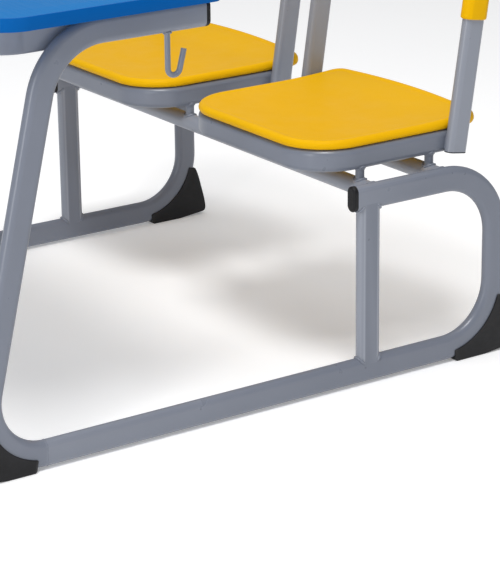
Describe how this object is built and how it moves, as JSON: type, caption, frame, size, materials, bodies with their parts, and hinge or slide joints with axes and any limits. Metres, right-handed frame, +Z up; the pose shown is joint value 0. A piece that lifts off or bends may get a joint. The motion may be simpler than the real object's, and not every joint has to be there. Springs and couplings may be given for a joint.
{
  "type": "school desk with attached seats",
  "caption": "School desk with a book tray and separate seats with backrests, joined by flat-oval tube side frames on plastic shoes.",
  "frame": {"origin": "on the floor under the middle of the unit's bounding box", "axes": "+Z up; +X along the desk, towards the sitters' left hand; +Y from the desk to the seats, so the sitters face -Y"},
  "size_m": [1.1, 1.12, 0.8482],
  "materials": {
    "frame_paint": "grey satin powder coat",
    "seat_plastic": "yellow moulded plastic, semi-gloss",
    "desktop_laminate": "board with light blue satin laminate",
    "edge_plastic": "darker blue edge band",
    "black_plastic": "black moulded plastic",
    "fastener_steel": "zinc plated"
  },
  "bodies": {
    "root": {"backrest_left": "seat_plastic", "backrest_right": "seat_plastic", "backrest_screws_left": "fastener_steel", "backrest_screws_right": "fastener_steel", "bag_hook_left": "frame_paint", "bag_hook_right": "frame_paint", "book_tray": "frame_paint", "desk_frame_left": "frame_paint", "desk_frame_right": "frame_paint", "desk_rail_cap_left": "black_plastic", "desk_rail_cap_right": "black_plastic", "desktop_board": "desktop_laminate", "desktop_edge_band": "edge_plastic", "desktop_screws": "fastener_steel", "foot_stretcher": "frame_paint", "front_leg_left": "frame_paint", "front_leg_right": "frame_paint", "front_seat_beam": "frame_paint", "front_shoe_left": "black_plastic", "front_shoe_right": "black_plastic", "left_seat_post_left": "frame_paint", "left_seat_post_right": "frame_paint", "post_plugs": "black_plastic", "rear_seat_beam": "frame_paint", "rear_shoe_left": "black_plastic", "rear_shoe_right": "black_plastic", "right_seat_post_left": "frame_paint", "right_seat_post_right": "frame_paint", "seat_frame_left": "frame_paint", "seat_frame_right": "frame_paint", "seat_rail_cap_left": "black_plastic", "seat_rail_cap_right": "black_plastic", "seat_ring_left": "frame_paint", "seat_ring_right": "frame_paint", "seat_screws_left": "fastener_steel", "seat_screws_right": "fastener_steel", "seat_shell_left": "seat_plastic", "seat_shell_right": "seat_plastic", "seat_standoffs_left": "frame_paint", "seat_standoffs_right": "frame_paint", "seat_tabs_left": "frame_paint", "seat_tabs_right": "frame_paint", "tray_bolts_left": "fastener_steel", "tray_bolts_right": "fastener_steel"}
  },
  "joints": []
}
